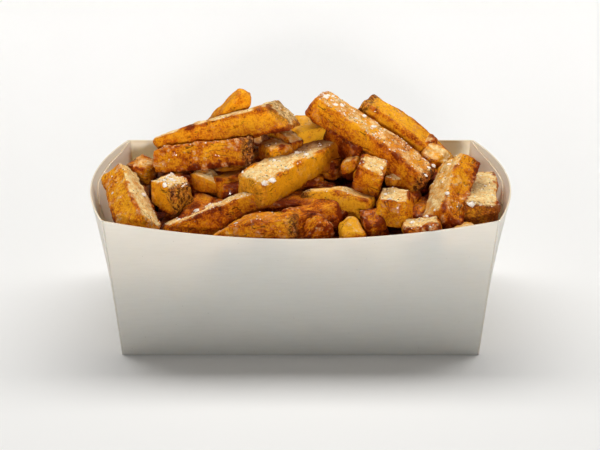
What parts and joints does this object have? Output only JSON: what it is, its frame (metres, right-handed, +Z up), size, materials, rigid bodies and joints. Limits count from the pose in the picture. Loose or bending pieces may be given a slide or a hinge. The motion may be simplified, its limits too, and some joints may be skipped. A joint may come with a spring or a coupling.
{
  "type": "french fries in a carton",
  "caption": "Thick-cut french fries heaped above the rim of an open white paperboard carton with flared walls and bowed ends",
  "frame": {"origin": "middle of the carton's underside, on the surface it stands on", "axes": "+X along the carton's long side, +Y from the low front panel to the back panel, +Z up"},
  "size_m": [0.1992, 0.11, 0.1068],
  "materials": {
    "paperboard": "matte uncoated white paperboard",
    "fried_potato": "satin, golden with browned edges"
  },
  "bodies": {
    "root": {"tray": "paperboard", "fries": "fried_potato"}
  },
  "joints": []
}
